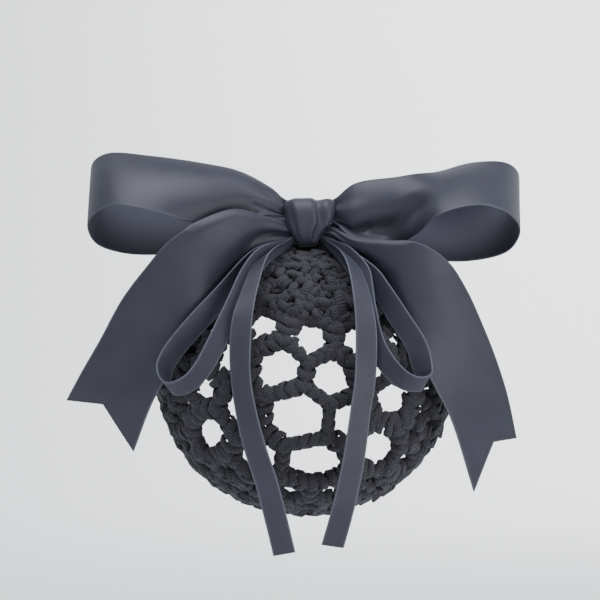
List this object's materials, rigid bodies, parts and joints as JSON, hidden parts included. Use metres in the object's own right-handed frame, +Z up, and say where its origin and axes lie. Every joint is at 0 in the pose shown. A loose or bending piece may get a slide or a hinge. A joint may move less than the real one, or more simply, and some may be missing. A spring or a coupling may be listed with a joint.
{
  "type": "hair net with a bow clip",
  "caption": "Open crocheted net bag for a hair bun, hung under a two-width satin bow on a metal hair clip.",
  "frame": {"origin": "middle of the clip's plate, on the face that lies on the hair", "axes": "+X to the right as seen from the bow's side, +Y into the head, +Z up; the net hangs towards -Z"},
  "size_m": [0.1412, 0.0539, 0.1217],
  "materials": {
    "satin": "slate blue-grey satin ribbon",
    "narrow_satin": "narrow slate blue-grey satin ribbon",
    "net_yarn": "dark slate crocheted ribbon yarn",
    "clip_metal": "bright stamped steel"
  },
  "bodies": {
    "root": {"hair_clip": "clip_metal", "knot": "satin", "wide_loop_left": "satin", "wide_loop_right": "satin", "wide_tail_left": "satin", "wide_tail_right": "satin", "narrow_loop_left": "narrow_satin", "narrow_loop_right": "narrow_satin", "narrow_tail_left": "narrow_satin", "narrow_tail_right": "narrow_satin", "net": "net_yarn", "net_edge": "net_yarn"}
  },
  "joints": []
}
